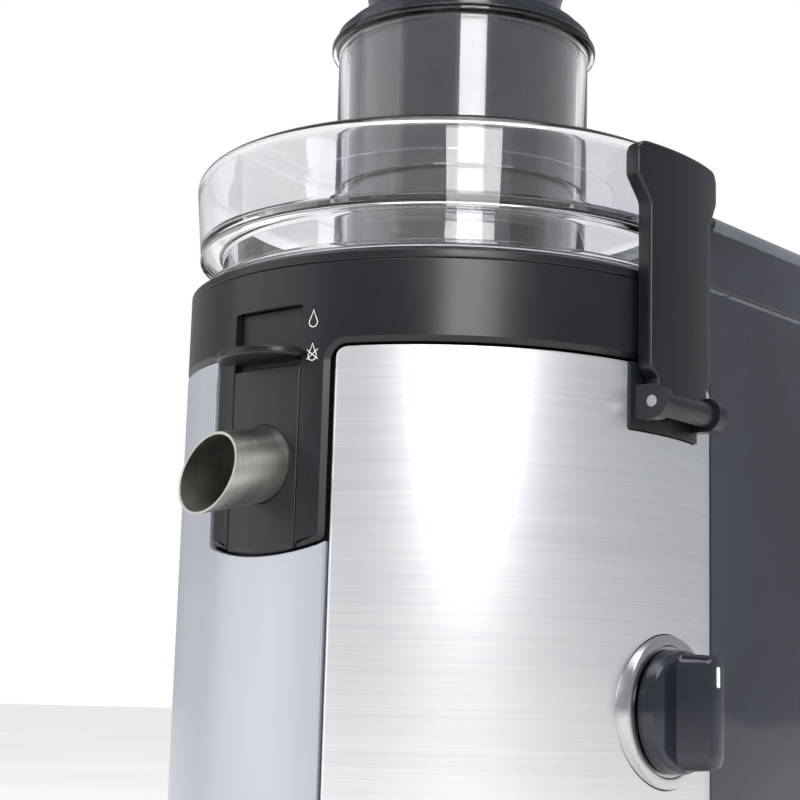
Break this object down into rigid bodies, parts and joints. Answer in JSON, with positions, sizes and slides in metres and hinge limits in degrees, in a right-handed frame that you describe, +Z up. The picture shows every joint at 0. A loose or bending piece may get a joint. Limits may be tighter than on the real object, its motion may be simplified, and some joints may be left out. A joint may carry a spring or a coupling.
{
  "type": "centrifugal juicer",
  "caption": "Upright centrifugal juicer: steel front, black collector band with drip stop and spout, clear lid with feed chute, pusher, side clamps and pulp bin.",
  "frame": {"origin": "on the table, under the drive shaft's axis", "axes": "+Z up along the drive shaft, the spout points to -X, the dial faces -Y, the pulp bin stands at +X"},
  "size_m": [0.3405, 0.2324, 0.3864],
  "materials": {
    "bearing_steel": "ground",
    "bezel_metal": "turned",
    "black_plastic": "satin moulded ABS",
    "brass_strip": "pressed",
    "brushed_front": "brushed across",
    "cast_metal": "die cast",
    "circuit_board": "glass fibre board",
    "clear_plastic": "clear moulding",
    "copper_wire": "enamelled wire",
    "dark_plastic": "polished dark ABS",
    "grey_shell": "silver lacquered ABS",
    "lamination": "stacked sheet",
    "rubber": "matt rubber",
    "sieve_steel": "bright stainless",
    "silicone": "translucent silicone",
    "smoke_plastic": "smoke tinted moulding",
    "spout_steel": "drawn tube, finely brushed",
    "white_plastic": "food grade nylon",
    "zinc_steel": "zinc plated"
  },
  "bodies": {
    "housing": {"foot_ring": "rubber", "base_cover": "black_plastic", "base_screws": "zinc_steel", "base_ring": "black_plastic", "chassis": "black_plastic", "front_panel": "brushed_front", "rear_panel": "grey_shell", "clamp_ears": "black_plastic", "clamp_pins": "zinc_steel", "juice_collector": "black_plastic", "collector_bowl": "black_plastic", "spout_cover": "black_plastic", "juice_duct": "black_plastic", "spout_tube": "spout_steel", "spout_seal": "silicone", "collar_ring": "black_plastic", "lid_gasket": "silicone", "lid": "clear_plastic", "lid_rim": "clear_plastic", "lid_neck": "clear_plastic", "feed_chute": "clear_plastic", "pulp_hood": "smoke_plastic", "stator": "lamination", "field_coils": "copper_wire", "lower_bracket": "cast_metal", "upper_bracket": "cast_metal", "lower_bearing": "bearing_steel", "upper_bearing": "bearing_steel", "damper_bushes": "rubber", "motor_screws": "zinc_steel", "brush_holders": "brass_strip", "shaft_seal": "rubber", "control_board": "circuit_board", "rotary_switch": "black_plastic", "dial_bezel": "bezel_metal", "cable_inlet": "black_plastic"},
    "drive": {"basket_hub": "white_plastic", "grater_disc": "sieve_steel", "grater_teeth": "sieve_steel", "sieve_cone": "sieve_steel", "basket_rim": "sieve_steel", "drive_coupling": "black_plastic", "motor_shaft": "bearing_steel", "armature": "lamination", "armature_windings": "copper_wire", "commutator": "brass_strip", "cooling_fan": "black_plastic"},
    "pusher": {"pusher_shell": "dark_plastic", "pusher_grip": "dark_plastic"},
    "drip_slide": {"slide_tab": "black_plastic", "slide_plate": "black_plastic", "gate_plate": "black_plastic"},
    "front_latch": {"front_clamp": "black_plastic"},
    "rear_latch": {"rear_clamp": "black_plastic"},
    "dial": {"dial_knob": "black_plastic", "dial_pointer": "bezel_metal"},
    "bin": {"pulp_container": "smoke_plastic"}
  },
  "joints": [
    {"name": "basket_spin", "type": "hinge", "parent": "housing", "child": "drive", "pos_m": [0, 0, 0.22], "axis": [0, 0, 1], "continuous": true},
    {"name": "pusher_lift", "type": "slide", "parent": "housing", "child": "pusher", "axis": [0, 0, 1], "range_m": [0, 0.11]},
    {"name": "drip_stop", "type": "slide", "parent": "housing", "child": "drip_slide", "axis": [0, 0, 1], "range_m": [0, 0.0115]},
    {"name": "front_clamp_turn", "type": "hinge", "parent": "housing", "child": "front_latch", "pos_m": [0, -0.1062, 0.196], "axis": [1, 0, 0], "range_deg": [0, 75]},
    {"name": "rear_clamp_turn", "type": "hinge", "parent": "housing", "child": "rear_latch", "pos_m": [0, 0.1062, 0.196], "axis": [-1, 0, 0], "range_deg": [0, 75]},
    {"name": "dial_turn", "type": "hinge", "parent": "housing", "child": "dial", "pos_m": [0, -0.1, 0.092], "axis": [0, 1, 0], "range_deg": [0, 150]},
    {"name": "bin_pull", "type": "slide", "parent": "housing", "child": "bin", "axis": [1, 0, 0], "range_m": [0, 0.13]}
  ]
}
